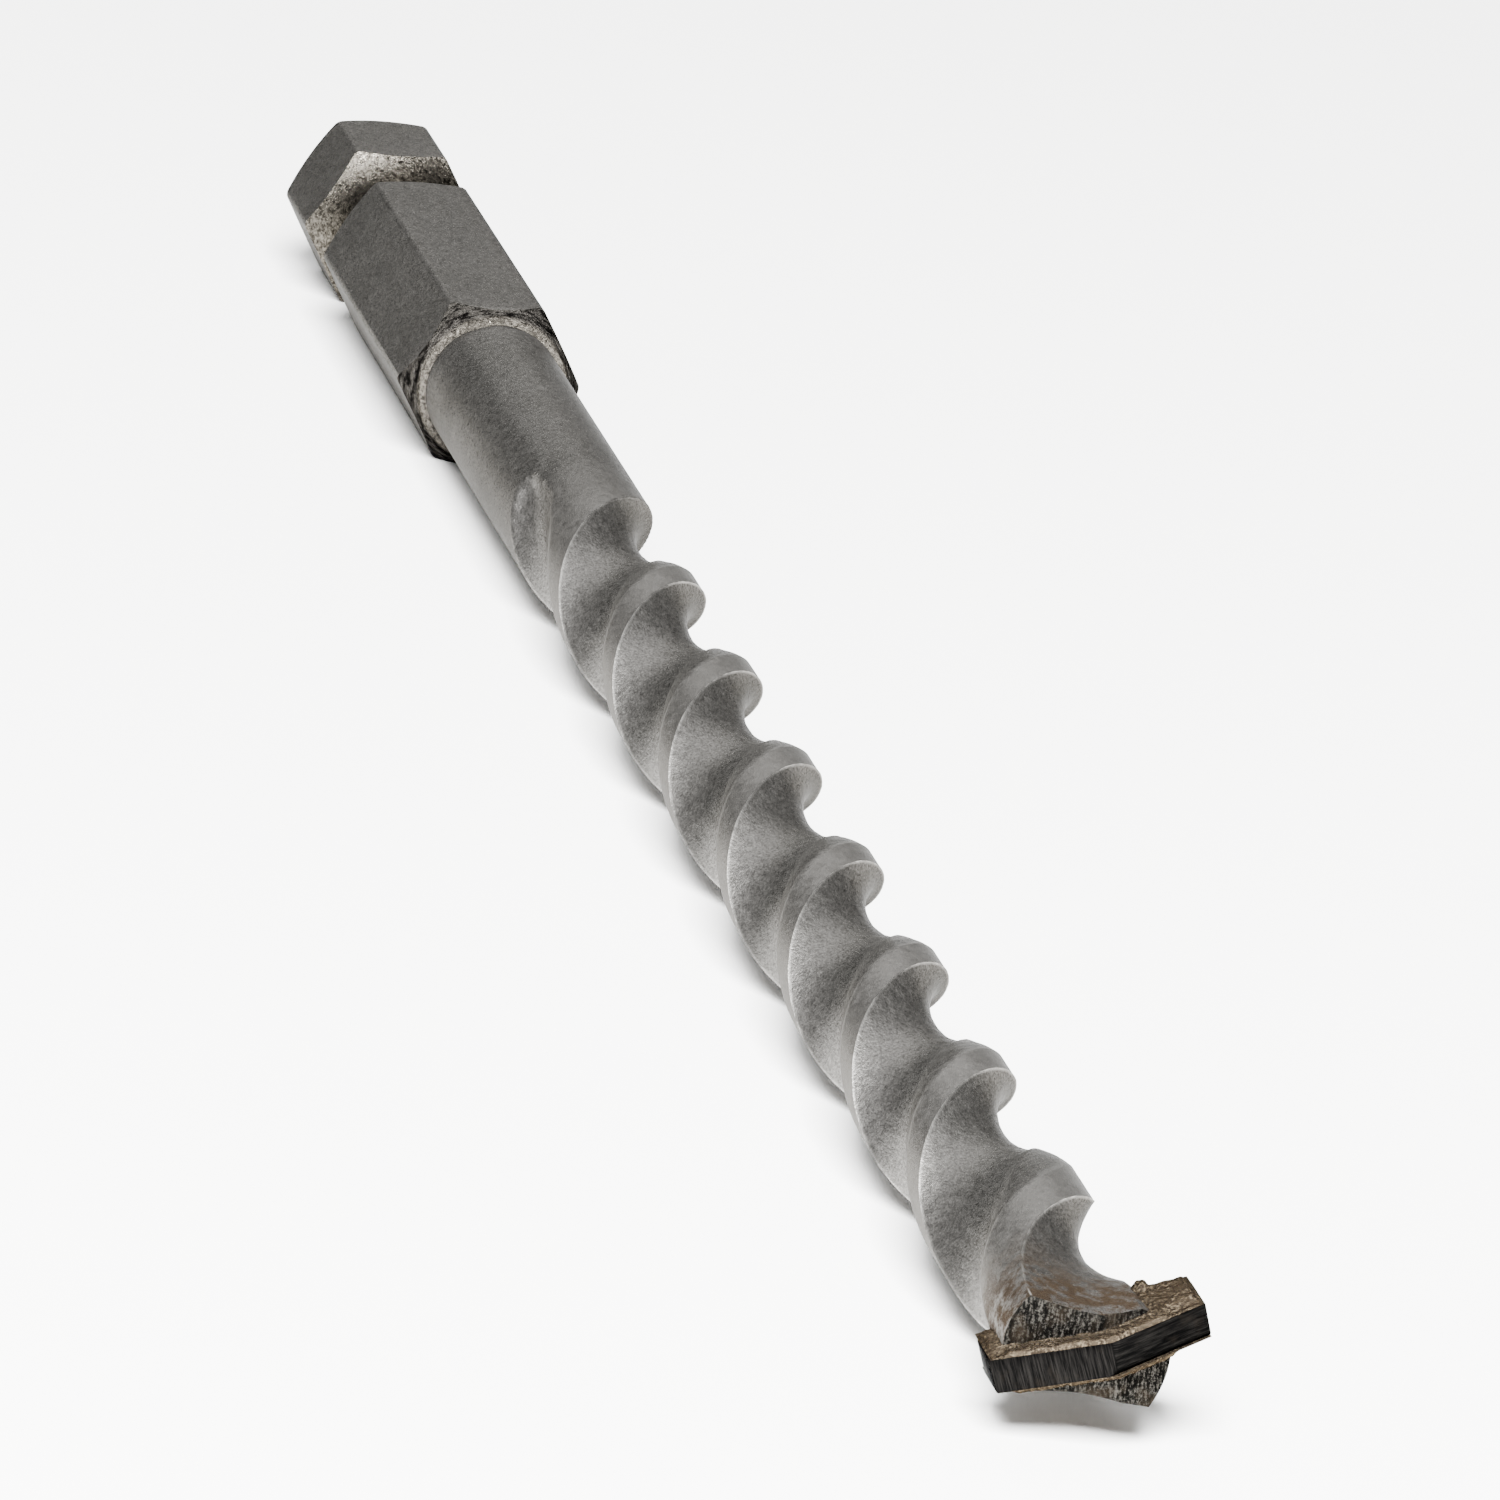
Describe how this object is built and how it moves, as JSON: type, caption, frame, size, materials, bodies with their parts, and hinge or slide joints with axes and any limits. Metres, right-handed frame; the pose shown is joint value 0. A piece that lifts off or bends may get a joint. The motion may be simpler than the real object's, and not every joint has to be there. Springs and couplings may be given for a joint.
{
  "type": "masonry drill bit",
  "caption": "Masonry drill bit with a grooved hexagon quick-change shank, a round neck, helical flutes and a brazed carbide plate tip.",
  "frame": {"origin": "centre of the flat rear end of the hexagon shank", "axes": "+X along the tool's axis towards the point, +Z out of the hexagon flat that faces up, +Y across the flats' corner direction; the opposite flat faces down and is what the bit lies on"},
  "size_m": [0.2485, 0.013, 0.0112],
  "materials": {
    "blasted_steel": "bead-blasted alloy steel",
    "tungsten_carbide": "ground sintered tungsten carbide",
    "braze": "copper-based brazing filler, heat-stained"
  },
  "bodies": {
    "root": {"steel_body": "blasted_steel", "carbide_tip": "tungsten_carbide", "braze_filler": "braze"}
  },
  "joints": []
}
